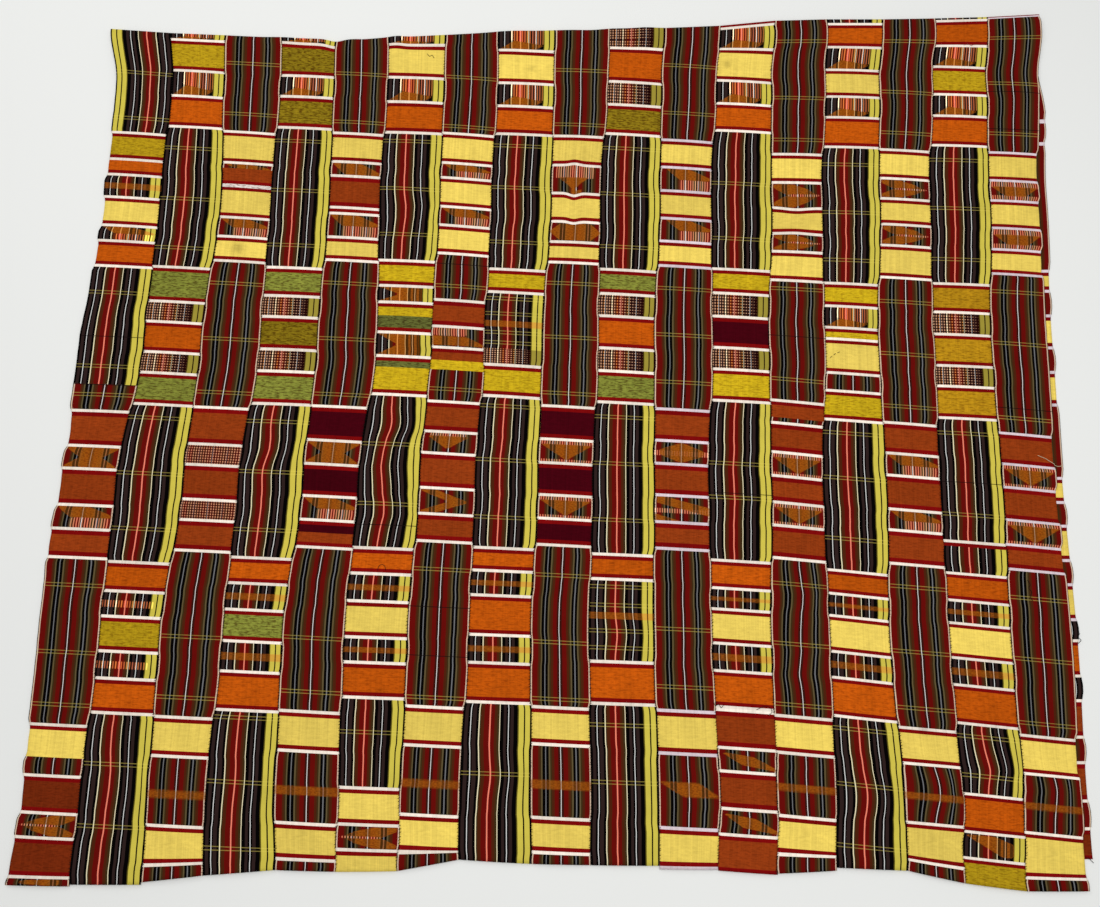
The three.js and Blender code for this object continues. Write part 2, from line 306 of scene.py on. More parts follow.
# %% Bands and rows
def read_chart(number, text, end):
    """Bands of one strip, from the open end up: (bottom, top, name, warp, turned)."""
    parts = [part.split() for part in text.split("|")]
    tops = [float(words[0]) for words in parts] + [end]
    bands = []
    for words, top, bottom in zip(parts, tops, tops[1:]):
        marks = [w for w in words if w in ("red", "black", "turned", "white")]
        warp = next((m for m in marks if m in WARPS), "red" if number > 1 and number % 2 else "black")
        pale = "lavender" if number in LAVENDER_STRIPS and "white" not in marks else "white"
        words = [w for w in words[1:] if w not in marks]
        if words[0] == "plain":
            cuts = [(top, "plain")]
            for word in words[1:]:
                line = float(word.strip("xb"))
                if word.startswith("b"):
                    cuts += [(line + 6, "band"), (line - 6, "plain")]
                    continue
                if word.startswith("x"):
                    cuts += [(line + LINE / 2, "join"), (line - LINE / 2, "plain")]
                    continue
                cuts += [(line + 3.5, "thread"), (line + 3.5 - LINE, "plain")]
                cuts += [(line - 3.5 + LINE, "thread"), (line - 3.5, "plain")]
            heights = [c[0] for c in cuts] + [bottom]
            for (_, name), high, low in zip(cuts, heights, heights[1:]):
                bands.append((low, high, name, warp, "turned" in marks))
            continue
        run = []
        for word in words:
            name = word.strip("-0123456789")
            length = float(word.strip("-abcdefghijklmnopqrstuvwxyz") or 0)
            if name in ("w", "r"):
                run.append((pale, BAR) if name == "w" else ("crimson", RED_EDGE))
            elif name in WEFTS and name not in MOTIFS and not word.startswith("-"):
                red = RED_EDGES.get(name, RED_EDGE)
                inner = length + 2 * (RED_BAR - red)
                run += [(pale, BAR), ("crimson", red), (name, inner), ("crimson", red), (pale, BAR)]
            else:
                run.append((name, length))
        steps = np.cumsum([0] + [length for _, length in run])
        heights = top - steps * (top - bottom) / sum(length for _, length in run)
        for (name, _), high, low in zip(run, heights, heights[1:]):
            own_warp = "red" if name == "redplain" else warp
            bands.append((low, high, name, own_warp, "turned" in marks))
    return bands[::-1]


def rows_of(bands, low, high, pitches):
    """Cuts the bands between two heights into rows, bottom up: each row's heights and its band's number."""
    starts, ends, owner = [], [], []
    for i, (bottom, top, name, _, _) in enumerate(bands):
        bottom, top = max(bottom, low), min(top, high)
        if top - bottom < 0.05:
            continue
        pitch = pitches[0] if name in MOTIFS else pitches[1]
        count = 2 * CHECK_ROWS if name in ("check", "dots") else max(1, int(np.ceil((top - bottom) / pitch)))
        cuts = np.linspace(bottom, top, count + 1)
        starts.append(cuts[:-1])
        ends.append(cuts[1:])
        owner.append(np.full(count, i))
    return np.concatenate(starts), np.concatenate(ends), np.concatenate(owner)


HEM_DROP = {1: 7.0, 2: 4.0, 11: 6.0, 12: 7.0, 13: 5.0}
END = {k: (EDGES[k - 1, 9] + EDGES[k, 9]) / 2 - HEM_DROP.get(k, 0.0) for k in CHART}
BANDS = {k: read_chart(k, text, END[k]) for k, text in CHART.items()}
UNDER_BANDS = {k: read_chart(17, UNDER_17, UNDER_17_END) if k == 17 else BANDS[k] for k in CHART}
print(sum(len(b) for b in BANDS.values()), "bands on the upper layer")

# %% [markdown]
# ## How the sheets lie
#
# The upper layer rests on the lower one with a little air between, more near the fold and under each
# pucker. Weft-faced panels draw a strip in and bare warp lets it spread, so the edges wave with the
# pattern. Wefts slope a little across each strip, and a few listed bends carry the warp aside.

# %% Shape of the cloth
PUCKERS = np.array([
    (-868, 735, 62, 80, 34, 3.5), (-300, 432, -34, 70, 28, 4), (-302, -40, -30, 75, 28, 5),
    (-325, -172, -30, 70, 28, 4), (-492, -46, -30, 65, 28, 4), (-765, -655, 26, 70, 30, 3.5),
    (-540, -650, 24, 70, 30, 3.5), (27, 450, 88, 95, 24, 2.5), (330, -140, 4, 70, 26, 3),
    (150, -400, -40, 65, 26, 3.5), (428, -325, -48, 75, 28, 3.5), (428, -470, 35, 65, 26, 3),
    (540, -672, -38, 75, 30, 4.5), (652, -662, -38, 75, 30, 5), (760, -625, 30, 65, 28, 3.5),
    (852, -668, -38, 75, 30, 4.5), (757, -118, 6, 65, 26, 3), (905, 660, 20, 60, 28, 3),
], float)
SLOPES = {1: (-7, -4, -5), 2: (-6, -6, -5), 3: (-7, -5, -5), 4: (-5, -4, -5), 5: (-6, -5, -6),
          6: (-4, -5, -4), 7: (-8, -6, -5), 8: (-5, -7, -4), 9: (-4, -6, -5), 10: (-7, -6, -4),
          11: (-7, -6, -5), 12: (-6, -6, -7), 13: (-2, -10, -9), 14: (-3, -8, -12), 15: (-6, -8, -9),
          16: (-4, -5, -11), 17: (-5, -9, -10)}
BENDS = [(6, 415, 30, 6), (6, -8, 30, 8), (6, -78, 28, -4), (6, -170, 32, 6), (4, -46, 30, 6),
         (4, -95, 30, -3), (2, -655, 45, 6), (4, -650, 45, 4), (10, -395, 30, 5), (13, -330, 40, 5),
         (13, -465, 26, -4), (14, -672, 42, 7), (15, -662, 40, 10), (16, -628, 30, 6),
         (17, -662, 36, 6), (8, -640, 30, 4)]
WEFT_SAG = [(9, 512, 22, 3), (9, 450, 26, -6), (9, 397, 26, -4), (13, 420, 22, -4), (13, 368, 20, 2)]
SAG_WIDTH = {9: 0.13, 13: 0.3}
FOLD_WAVES = [(-560, 30, 2), (-451, 20, -6), (-395, 26, -2), (-331, 18, 3), (-100, 40, 2), (60, 30, -2),
              (170, 24, 2)]
EDGE_SHIFTS = [(0, 240, 60, 5), (0, -30, 45, 5), (0, -225, 60, -7)]
STAINS = [(-625, 340, 11, 0.45), (330, 725, 7, 0.35), (-60, 715, 6, 0.3), (640, -560, 8, 0.3)]
rng = np.random.default_rng(17)


def soft_step(t):
    """0 below 0, 1 above 1 and a smooth rise between: three t squared less two t cubed."""
    t = np.clip(t, 0, 1)
    return t * t * (3 - 2 * t)


def edge_x(edge, y):
    """x of one edge at height y: soft steps between its readings."""
    i = np.clip(np.searchsorted(-LEVELS, -y), 1, len(LEVELS) - 1)
    t = soft_step((LEVELS[i - 1] - y) / (LEVELS[i - 1] - LEVELS[i]))
    return EDGES[edge, i - 1] + (EDGES[edge, i] - EDGES[edge, i - 1]) * t


HEIGHTS = np.arange(-880.0, 881.0, 2.0)


def spread_line(bands):
    """How far a strip spreads at each height: 1 in bare warp, -1 in weft-faced bands, smoothed over 20 mm."""
    bare = np.full(HEIGHTS.shape, 1.0)
    for bottom, top, name, _, _ in bands:
        if name in WEFTS and WEFTS[name][1] == 1.0:
            bare[(HEIGHTS > bottom) & (HEIGHTS <= top)] = -1
    kernel = np.hanning(11)
    return np.convolve(np.pad(bare, 5, mode="edge"), kernel / kernel.sum(), "valid")


SPREAD = {k: spread_line(b) for k, b in BANDS.items()}
SPREAD[0], SPREAD[COUNT + 1] = HEIGHTS * 0, HEIGHTS * 0
UNDER_SPREAD = spread_line(UNDER_BANDS[17])


def wavy_edge(edge, y):
    """The edge's x with its listed shifts and the wave that its two strips give it by spreading."""
    push = np.interp(y, HEIGHTS, SPREAD[edge]) - np.interp(y, HEIGHTS, SPREAD[edge + 1])
    return edge_x(edge, y) + bend(EDGE_SHIFTS, edge, y) + push * (2.4 if edge in (0, COUNT) else 0.9)


def pucker_lift(x, y):
    """Sum of the puckers: each a lift times exp of minus the squares of the distances along and beside it."""
    total = np.zeros(np.broadcast(x, y).shape)
    for px, py, turn, long, wide, lift in PUCKERS:
        c, s = np.cos(np.radians(turn)), np.sin(np.radians(turn))
        along, beside = ((x - px) * c + (y - py) * s) / long, ((y - py) * c - (x - px) * s) / wide
        total = total + lift * np.exp(-along**2 - beside**2)
    return total


def air_under(x, y, loop_y):
    """Air between the layers: the gap, a broad swell and the puckers, opening to the loop at the fold."""
    closing = soft_step((loop_y - y) / FOLD_REACH)
    swell = 0.5 * SWELL * (1 + np.sin(x / 137 + y / 260) * np.cos(y / 171 - x / 410))
    return LAYER_GAP + (swell + pucker_lift(x, y)) * closing + (FOLD_LOOP - LAYER_GAP) * (1 - closing)


def weft_slope(number, y):
    """Fall of the weft across the strip at height y: its ends' own slopes and three readings between."""
    top = EDGES[number, 8] - EDGES[number - 1, 8]
    end = EDGES[number, 9] - EDGES[number - 1, 9]
    high, middle, low = SLOPES[number]
    places = [END[number], -760, -400, 50, 450, 740, 800]
    return np.interp(y, places, [end, low, low, middle, high, high, top])


def bend(table, number, y):
    """Sum of one strip's listed bends at height y: each a reach times exp of minus a squared distance."""
    return sum(side * np.exp(-((y - at) / reach) ** 2) for k, at, reach, side in table if k == number) + 0 * y


def fold_wave(x):
    """How far the fold stands out at x: each placed wave's rise times exp of minus a squared distance."""
    return sum(rise * np.exp(-((x - at) / reach) ** 2) for at, reach, rise in FOLD_WAVES)


def stain(x, y):
    """How soiled the cloth is: each listed stain's depth times exp of minus a squared distance."""
    return sum(depth * np.exp(-((x - sx) ** 2 + (y - sy) ** 2) / reach**2) for sx, sy, reach, depth in STAINS)


print(len(PUCKERS), "puckers,", len(BENDS), "bends of the warp")

# %% [markdown]
# ## Seventeen sheets
#
# A sheet has two skins of rows and columns, joined at the rim. Columns crowd towards the seams. Faces
# keep their weft's colour, cover, flecks and the tone of a motif's teeth. Corners keep the place in the
# weave and the motif's two fields, and points keep the stains.

# %% Build the strips
COLUMNS, LOOP_ROWS = 22, 8
UPPER_PITCH, LOWER_PITCH = (4.0, 8.0), (8.0, 16.0)
even = np.linspace(0, 1, COLUMNS + 1)
U = 0.65 * even + 0.35 * (0.5 - 0.5 * np.cos(np.pi * even))


def upper_places(number, heights):
    """x, y and the inner skin's z of the upper layer for a column of heights, one row for each."""
    y = heights[:, None] + weft_slope(number, heights)[:, None] * (U - 0.5)
    y = y + bend(WEFT_SAG, number, heights)[:, None] * np.exp(-((U - 0.45) / SAG_WIDTH.get(number, 0.2)) ** 2)
    left, right = wavy_edge(number - 1, y), wavy_edge(number, y)
    arch = 4 * U * (1 - U)
    sway = bend(BENDS, number, y) + 0.9 * np.sin(y / 97 + 1.7 * number) + 0.25 * np.sin(y / 33 + number)
    x = left + (right - left) * U + SEAM_GAP * (0.5 - U) + sway * arch
    fold = EDGES[number - 1, 8] + (EDGES[number, 8] - EDGES[number - 1, 8]) * U
    y = y + fold_wave(x) * soft_step((y - fold + 80) / 70)
    loop_y = fold + fold_wave(x[-1]) - RADIUS - SHEET / 2
    closing = soft_step((loop_y - y) / FOLD_REACH)
    seam = np.minimum(U, 1 - U) * (right - left)
    ripple = 0.45 * np.sin(y / 6.1 + 2.1 * number) * np.sin(y / 47 + number) * np.exp(-seam / 14)
    groove = -GROOVE * np.exp(-((seam / 3.5) ** 2))
    hem = 0.5 * np.exp(-(((heights - END[number] - 3) / 3) ** 2))[:, None]
    z = SHEET + air_under(x, y, loop_y) + (PLAIN_CROWN * arch + ripple + groove) * closing + hem
    return x, y, np.maximum(z, SHEET + 0.3), loop_y


def lower_places(number, heights):
    """x and y of the lower layer: the same strip let slip to the right below the fold."""
    top = EDGES[number, 8] - EDGES[number - 1, 8]
    y = heights[:, None] + np.interp(heights, [600, 780], [0, top])[:, None] * (U - 0.5)
    left, right = edge_x(number - 1, y), edge_x(number, y)
    if number == COUNT:
        right = right + 2.0 * np.interp(y, HEIGHTS, UNDER_SPREAD)
    slip = UNDER_SHIFT * soft_step((SHIFT_FROM - y) / (SHIFT_FROM - SHIFT_FULL))
    x = left + (right - left) * U + SEAM_GAP * (0.5 - U) + slip
    return x, y + fold_wave(x) * soft_step((y - EDGES[number, 8] + 80) / 70)


def skins(number, up, down):
    """Outer and inner skin, each (rows + 1, columns + 1, 3): the upper layer, the fold and the lower layer."""
    x, y, z, loop_y = upper_places(number, up)
    outer, inner = np.stack([x, y, z + SHEET], -1), np.stack([x, y, z], -1)
    angle = np.linspace(np.pi / 2, -np.pi / 2, LOOP_ROWS + 1)[1:-1, None]
    centre = SHEET / 2 + RADIUS
    wide = np.broadcast_to(x[-1], (LOOP_ROWS - 1, COLUMNS + 1))

    def half_turn(reach):
        """Half a turn about the fold's middle line: y and z from the angle's cosine and sine."""
        along, rise = loop_y + reach * np.cos(angle), centre + reach * np.sin(angle) + 0 * wide
        return np.stack([wide, along, rise], -1)

    loop_out, loop_in = half_turn(RADIUS + SHEET / 2), half_turn(RADIUS - SHEET / 2)
    xl, yl = lower_places(number, down)
    low_out, low_in = np.stack([xl, yl, 0 * xl], -1), np.stack([xl, yl, 0 * xl + SHEET], -1)
    return np.concatenate([outer, loop_out, low_out]), np.concatenate([inner, loop_in, low_in])


def on_corners(s):
    """Corner values in face order from s[row, end, column]: both skins, two sides, then both end rims."""
    groups = [
        np.stack([s[:, 0, :-1], s[:, 0, 1:], s[:, 1, 1:], s[:, 1, :-1]], 2),
        np.stack([s[:, 0, :-1], s[:, 1, :-1], s[:, 1, 1:], s[:, 0, 1:]], 2),
        np.stack([s[:, 0, 0], s[:, 1, 0], s[:, 1, 0], s[:, 0, 0]], 1),
        np.stack([s[:, 0, -1], s[:, 0, -1], s[:, 1, -1], s[:, 1, -1]], 1),
        np.stack([s[0, 0, :-1], s[0, 0, :-1], s[0, 0, 1:], s[0, 0, 1:]], 1),
        np.stack([s[-1, 1, :-1], s[-1, 1, 1:], s[-1, 1, 1:], s[-1, 1, :-1]], 1),
    ]
    return np.concatenate([g.reshape(-1, *s.shape[3:]) for g in groups])


def on_faces(rows):
    """Face values in the same order from one value for each row."""
    skin = np.repeat(rows, COLUMNS, axis=0)
    rim = [np.repeat(rows[:1], COLUMNS, axis=0), np.repeat(rows[-1:], COLUMNS, axis=0)]
    return np.concatenate([skin, skin, rows, rows, *rim])


def quads(count):
    """Four vertex numbers for each face, in the same order: both skins, sides and rims."""
    o = np.arange((count + 1) * (COLUMNS + 1)).reshape(count + 1, COLUMNS + 1)
    i = o + o.size
    return np.concatenate([
        np.stack([o[:-1, :-1], o[:-1, 1:], o[1:, 1:], o[1:, :-1]], -1).reshape(-1, 4),
        np.stack([i[:-1, :-1], i[1:, :-1], i[1:, 1:], i[:-1, 1:]], -1).reshape(-1, 4),
        np.stack([o[:-1, 0], o[1:, 0], i[1:, 0], i[:-1, 0]], -1),
        np.stack([o[:-1, -1], i[:-1, -1], i[1:, -1], o[1:, -1]], -1),
        np.stack([o[0, :-1], i[0, :-1], i[0, 1:], o[0, 1:]], -1),
        np.stack([o[-1, :-1], o[-1, 1:], i[-1, 1:], i[-1, :-1]], -1),
    ])


def mesh_of(name, vertices, faces, smooth):
    """A mesh from arrays of vertices in millimetres of the drawing and faces of four corners."""
    mesh = bpy.data.meshes.new(name)
    places = (vertices - np.array([*MIDDLE, 0])) * MM
    mesh.vertices.add(len(places))
    mesh.vertices.foreach_set("co", places.ravel().astype(np.float32))
    mesh.loops.add(faces.size)
    mesh.loops.foreach_set("vertex_index", faces.ravel().astype(np.int32))
    mesh.polygons.add(len(faces))
    mesh.polygons.foreach_set("loop_start", np.arange(0, faces.size, 4, dtype=np.int32))
    mesh.polygons.foreach_set("use_smooth", smooth.astype(bool))
    mesh.update(calc_edges=True)
    return mesh


def give(mesh, name, kind, domain, values):
    """Adds one attribute to a mesh."""
    field = {"FLOAT": "value", "FLOAT_COLOR": "color"}[kind]
    data = mesh.attributes.new(name, kind, domain).data
    data.foreach_set(field, np.ascontiguousarray(values, np.float32).ravel())


def give_map(mesh, name, values):
    """Adds one UV map to a mesh."""
    mesh.uv_layers.new(name=name, do_init=False).data.foreach_set("uv", values.astype(np.float32).ravel())


def build_strip(number):
    """One strip's mesh with its pattern, and its flat size in metres."""
    bands, under = BANDS[number], UNDER_BANDS[number]
    top = (EDGES[number - 1, 8] + EDGES[number, 8]) / 2 - RADIUS - SHEET / 2
    end = UNDER_END[0] + (UNDER_END[1] - UNDER_END[0]) * (number - 0.5) / COUNT
    low_u, high_u, own_u = rows_of(bands, END[number], top, UPPER_PITCH)
    low_d, high_d, own_d = (a[::-1] for a in rows_of(under, end, top, LOWER_PITCH))
    up, down = np.append(low_u, high_u[-1]), np.append(high_d, low_d[-1])
    outer, inner = skins(number, up, down)
    last = np.full(LOOP_ROWS, len(bands) - 1)
    owner = np.concatenate([own_u, last, own_d + len(bands)])
    first = np.concatenate([low_u, np.full(LOOP_ROWS, top), high_d])
    second = np.concatenate([high_u, np.full(LOOP_ROWS, top), low_d])
    every = bands + under
    floor_, roof = (np.array([b[i] for b in every])[owner] for i in (0, 1))
    t = np.stack([(first - floor_), (second - floor_)], 1) / (roof - floor_)[:, None]
    count = len(owner)

    solid, comb = np.full((2, count, 2, COLUMNS + 1), -1.0)
    names = np.array([b[2] for b in every])[owner]
    for name in set(names) & set(MOTIFS):
        rows = names == name
        solid[rows], comb[rows] = motif_fields(name, U[None, None, :], t[rows][:, :, None])
    ticks = np.round(t * 2 * CHECK_ROWS).astype(int) % 2
    dotted = np.isin(names, ("check", "dots"))[:, None, None]
    comb = np.where(dotted, np.minimum(comb, np.where(ticks, -0.5, 0.7)[:, :, None]), comb)

    length = np.append(0, np.cumsum(np.linalg.norm(np.diff(outer[:, COLUMNS // 2], axis=0), axis=1)))
    path = np.stack([length[:-1], length[1:]], 1)
    mirror = np.array([b[4] for b in every])[owner]
    across = np.where(mirror[:, None, None], 1 - U, U) + np.zeros((count, 2, 1))
    weave = np.stack([across, np.broadcast_to(path[:, :, None] * MM, across.shape)], -1)

    faces = quads(count)
    smooth = np.arange(len(faces)) < 2 * count * COLUMNS
    vertices = np.concatenate([outer.reshape(-1, 3), inner.reshape(-1, 3)])
    mesh = mesh_of("cloth_strip_%02d" % number, vertices, faces, smooth)
    give_map(mesh, "weave", on_corners(weave))
    wefts = np.array([np.append(*WEFTS[n][:2]) if n in WEFTS else np.zeros(4) for n in names])
    wefts[:, :3] *= rng.uniform(0.88, 1.08, len(every))[owner][:, None]
    flecks = np.array([WEFTS[n][2] if n in WEFTS else 0.0 for n in names])
    give(mesh, "weft", "FLOAT_COLOR", "FACE", on_faces(wefts))
    give(mesh, "fleck", "FLOAT", "FACE", on_faces(flecks))
    give(mesh, "solid", "FLOAT", "CORNER", on_corners(solid))
    give(mesh, "comb", "FLOAT", "CORNER", on_corners(comb))
    tones = np.array([linear(*TEETH.get(b[2], TEETH[b[3]])) for b in every])[owner]
    give(mesh, "tooth", "FLOAT_COLOR", "FACE", on_faces(np.append(tones, np.ones((count, 1)), 1)))
    soiled = stain(outer[..., 0], outer[..., 1]) * (outer[..., 2] > 2 * SHEET)
    give(mesh, "stain", "FLOAT", "POINT", np.concatenate([soiled.ravel(), 0 * soiled.ravel()]))
    warps = np.array([b[3] == "red" for b in every])[owner]
    mesh.polygons.foreach_set("material_index", on_faces(warps).astype(np.int32))
    width = float(np.diff(EDGES[number - 1:number + 1, :8], axis=0).mean()) * MM
    return mesh, (round(width, 3), round(float(length[-1]) * MM, 3))


strips, flats = {}, {}
for number in CHART:
    mesh, flats[number] = build_strip(number)
    strips[number] = bpy.data.objects.new(mesh.name, mesh)
    bpy.context.collection.objects.link(strips[number])
triangles = sum(2 * len(strip.data.polygons) for strip in strips.values())
print(triangles, "triangles; flat sizes", flats[1], "to", flats[COUNT])

# %% [markdown]
# ## Cotton
#
# Two cottons differ in their warp and in the tint of their floats. A shared group turns the place in the
# weave into threads: a height for the bump, streaks along the weft and flecks. Another lays the floats
# over the warp.

# %% Materials
def add(tree, kind, inputs=(), **settings):
    """Adds a node, sets its settings, and sets or links its inputs, given by place or name."""
    node = tree.nodes.new(kind)
    for key, value in settings.items():
        setattr(node, key, value)
    for key, value in dict(inputs).items():
        if isinstance(value, bpy.types.NodeSocket):
            tree.links.new(value, node.inputs[key])
        elif value is not None:
            node.inputs[key].default_value = value
    return node


def maths(tree, operation, a, b=None, c=None):
    """One maths node's output."""
    return add(tree, "ShaderNodeMath", {0: a, 1: b, 2: c}, operation=operation).outputs[0]


def blend(tree, share, a, b, how="MIX"):
    """Colour a, mixed towards b by share."""
    node = add(tree, "ShaderNodeMix", {0: share, 6: a, 7: b},
               data_type="RGBA", blend_type=how, clamp_factor=True)
    return node.outputs[2]


def ramp_up(tree, value, low, high):
    """0 below low, 1 above high, and smooth between."""
    return add(tree, "ShaderNodeMapRange", {"Value": value, "From Min": low, "From Max": high},
               interpolation_type="SMOOTHSTEP").outputs[0]


def darken(tree, colour, share):
    """A colour times a grey share."""
    grey = add(tree, "ShaderNodeCombineXYZ", {0: share, 1: share, 2: share}).outputs[0]
    return blend(tree, 1.0, colour, grey, "MULTIPLY")


def rgba(colour):
    """A linear colour with full cover."""
    return (*[float(c) for c in colour], 1.0)


def group_of(name, takes, gives):
    """An empty node group with named inputs and outputs, and its two ends."""
    tree = bpy.data.node_groups.new(name, "ShaderNodeTree")
    for label, kind in takes:
        tree.interface.new_socket(label, in_out="INPUT", socket_type=kind)
    for label, kind in gives:
        tree.interface.new_socket(label, in_out="OUTPUT", socket_type=kind)
    return tree, add(tree, "NodeGroupInput").outputs, add(tree, "NodeGroupOutput").inputs


def noise(tree, place, scale, detail=2.0):
    """Noise at a place stretched by scale, from 0 to 1."""
    spot = add(tree, "ShaderNodeVectorMath", {0: place, 1: scale}, operation="MULTIPLY").outputs[0]
    return add(tree, "ShaderNodeTexNoise", {"Vector": spot, "Scale": 1.0, "Detail": detail}).outputs[0]


FLOAT, COLOUR, VECTOR = "NodeSocketFloat", "NodeSocketColor", "NodeSocketVector"

threads, given, made = group_of(
    "woven_threads", [("Weave", VECTOR), ("Cover", FLOAT), ("Flecked", FLOAT)],
    [("Height", FLOAT), ("Shade", FLOAT), ("Fleck", FLOAT), ("Speck", FLOAT), ("Wear", FLOAT)])
split = add(threads, "ShaderNodeSeparateXYZ", {0: given["Weave"]}).outputs
warp_rib = maths(threads, "ABSOLUTE", maths(threads, "SINE", maths(threads, "MULTIPLY", split[0], 300.0)))
weft_rib = maths(threads, "ABSOLUTE", maths(threads, "SINE", maths(threads, "MULTIPLY", split[1], 2600.0)))
ribs = add(threads, "ShaderNodeMix", {0: given["Cover"], 2: warp_rib, 3: weft_rib}).outputs[0]
streak = noise(threads, given["Weave"], (7.0, 230.0, 1.0), 2.0)
rib = noise(threads, given["Weave"], (34.0, 5.0, 1.0), 1.0)
fleck = noise(threads, given["Weave"], (11.0, 400.0, 1.0), 3.0)
speck = noise(threads, given["Weave"], (30.0, 260.0, 1.0), 1.0)
uneven = maths(threads, "MULTIPLY_ADD", given["Flecked"], 0.7, 0.3)
shade = maths(threads, "MULTIPLY_ADD", maths(threads, "SUBTRACT", streak, 0.5), uneven, 0.79)
threads.links.new(maths(threads, "MULTIPLY_ADD", rib, 0.42, shade), made["Shade"])
threads.links.new(maths(threads, "ADD", ribs, maths(threads, "MULTIPLY", fleck, 0.6)), made["Height"])
darker = ramp_up(threads, fleck, 0.47, 0.66)
threads.links.new(maths(threads, "MULTIPLY", darker, given["Flecked"]), made["Fleck"])
threads.links.new(ramp_up(threads, speck, 0.74, 0.8), made["Speck"])
threads.links.new(noise(threads, given["Weave"], (2.6, 26.0, 1.0), 3.0), made["Wear"])

floats, given, made = group_of(
    "floating_weft",
    [("Weave", VECTOR), ("Warp", COLOUR), ("Solid", FLOAT), ("Comb", FLOAT), ("Tooth", COLOUR),
     ("Accent", COLOUR), ("Line", COLOUR)],
    [("Colour", COLOUR), ("Float", FLOAT)])
split = add(floats, "ShaderNodeSeparateXYZ", {0: given["Weave"]}).outputs
across = add(floats, "ShaderNodeCombineXYZ", {0: split[0]}).outputs[0]
wave = maths(floats, "SINE", maths(floats, "MULTIPLY", split[0], 138.0))
hue = noise(floats, across, (17.0, 1.0, 1.0), 1.0)
tinted = blend(floats, ramp_up(floats, hue, 0.48, 0.6), given["Tooth"], given["Accent"])
tinted = blend(floats, 1.0, darken(floats, tinted, 0.75), darken(floats, given["Warp"], 2.0), "ADD")
combed = ramp_up(floats, given["Comb"], -0.02, 0.02)
toothed = maths(floats, "MULTIPLY", combed, ramp_up(floats, wave, -0.1, 0.4))
grain = noise(floats, given["Weave"], (26.0, 520.0, 1.0), 2.0)
brown = blend(floats, ramp_up(floats, grain, 0.35, 0.7), rgba(linear(176, 95, 18)), rgba(linear(136, 68, 12)))
whole = ramp_up(floats, given["Solid"], -0.02, 0.02)
teeth = blend(floats, maths(floats, "MULTIPLY", toothed, 0.9), given["Warp"], tinted)
bright = add(floats, "ShaderNodeRGBToBW", {0: given["Warp"]}).outputs[0]
pale = maths(floats, "MULTIPLY", ramp_up(floats, bright, 0.1, 0.3), 0.85)
lined = blend(floats, pale, brown, given["Line"])
sunk = maths(floats, "MULTIPLY", ramp_up(floats, bright, 0.02, 0.006), maths(floats, "POWER", whole, 3.0))
lined = blend(floats, maths(floats, "MULTIPLY", sunk, 0.85), lined, rgba(linear(62, 40, 14)))
floats.links.new(blend(floats, maths(floats, "MULTIPLY", whole, 0.82), teeth, lined), made["Colour"])
floats.links.new(maths(floats, "MAXIMUM", whole, toothed), made["Float"])


def cotton(name, warp_name):
    """The cloth's material: a warp of stripes, the row's own weft over it, and floats in its motifs."""
    material = bpy.data.materials.new(name)
    material.use_nodes = True
    tree = material.node_tree
    shader = tree.nodes["Principled BSDF"]
    shader.inputs["Roughness"].default_value = 0.88
    shader.inputs["Specular IOR Level"].default_value = 0.02
    weave = add(tree, "ShaderNodeUVMap", uv_map="weave").outputs[0]
    weft = add(tree, "ShaderNodeAttribute", attribute_name="weft").outputs
    tooth = add(tree, "ShaderNodeAttribute", attribute_name="tooth").outputs["Color"]
    flecked, solid, comb, soiled = (
        add(tree, "ShaderNodeAttribute", attribute_name=kind).outputs["Fac"]
        for kind in ("fleck", "solid", "comb", "stain"))
    thread = add(tree, "ShaderNodeGroup", {"Weave": weave, "Cover": weft["Alpha"], "Flecked": flecked},
                 node_tree=threads).outputs

    sway = maths(tree, "MULTIPLY_ADD", noise(tree, weave, (5.0, 14.0, 1.0)), 0.006, -0.003)
    place = maths(tree, "ADD", add(tree, "ShaderNodeSeparateXYZ", {0: weave}).outputs[0], sway)
    ramp = add(tree, "ShaderNodeValToRGB", {0: place})
    ramp.color_ramp.interpolation = "CONSTANT"
    stripes = WARPS[warp_name]
    starts = [0.0] + [end for end, _ in stripes[:-1]]
    for _ in stripes[2:]:
        ramp.color_ramp.elements.new(0.5)
    for element, start, (_, colour) in zip(ramp.color_ramp.elements, starts, stripes):
        element.position = start
        element.color = rgba(linear(*colour))

    dyed = darken(tree, weft["Color"], thread["Shade"])
    dark = blend(tree, 1.0, weft["Color"], (0.46, 0.36, 0.36, 1.0), "MULTIPLY")
    dyed = blend(tree, thread["Fleck"], dyed, dark)
    dyed = blend(tree, maths(tree, "MULTIPLY", thread["Speck"], 0.5), dyed, dark)
    base = blend(tree, weft["Alpha"], ramp.outputs[0], dyed)
    over = add(tree, "ShaderNodeGroup",
               {"Weave": weave, "Warp": base, "Solid": solid, "Comb": comb, "Tooth": tooth,
                "Accent": rgba(linear(*ACCENTS[warp_name])), "Line": rgba(linear(*LINES[warp_name]))},
               node_tree=floats).outputs
    soil = maths(tree, "SUBTRACT", maths(tree, "MULTIPLY_ADD", thread["Wear"], 0.3, 0.85), soiled)
    tree.links.new(darken(tree, over["Colour"], soil), shader.inputs["Base Color"])
    height = maths(tree, "ADD", thread["Height"], over["Float"])
    bump = add(tree, "ShaderNodeBump", {"Height": height, "Strength": 0.35, "Distance": 0.0004})
    tree.links.new(bump.outputs[0], shader.inputs["Normal"])
    return material


cottons = [cotton("black_warp_cotton", "black"), cotton("red_warp_cotton", "red")]
for strip in strips.values():
    for material in cottons:
        strip.data.materials.append(material)
print([m.name for m in cottons])

# %% [markdown]
# ## Sewing
#
# Dark hand stitches cross each seam, a few millimetres apart and none quite alike. Each is a bent thread
# of four sides that rises over the seam and dips into the cloth at both ends.

